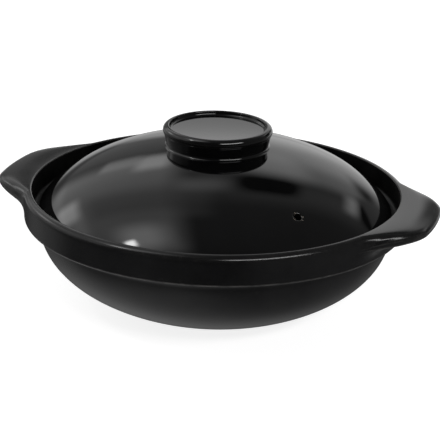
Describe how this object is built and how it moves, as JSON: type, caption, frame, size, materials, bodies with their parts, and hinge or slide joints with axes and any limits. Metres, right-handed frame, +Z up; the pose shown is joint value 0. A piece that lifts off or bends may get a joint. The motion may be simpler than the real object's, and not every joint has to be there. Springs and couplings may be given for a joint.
{
  "type": "lidded casserole pot",
  "caption": "Wide shallow black-glazed stoneware pot with an upright collar, ear lugs, an inner ledge and a domed lid with a steam vent and a ring knob, for cooking and serving at the table.",
  "frame": {"origin": "on the table, under the centre of the foot", "axes": "+Z up along the pot's axis, +X through the right lug"},
  "size_m": [0.3168, 0.27, 0.1283],
  "materials": {
    "pot_glaze": "satin black glaze",
    "lid_glaze": "glossy black glaze"
  },
  "bodies": {
    "pot": {"pot_bowl": "pot_glaze", "pot_collar": "pot_glaze", "lug_left": "pot_glaze", "lug_right": "pot_glaze"},
    "lid": {"lid_dome": "lid_glaze", "lid_knob": "lid_glaze"}
  },
  "joints": [
    {"name": "lid_lift", "type": "slide", "parent": "pot", "child": "lid", "axis": [0, 0, 1], "range_m": [0, 0.15]}
  ]
}
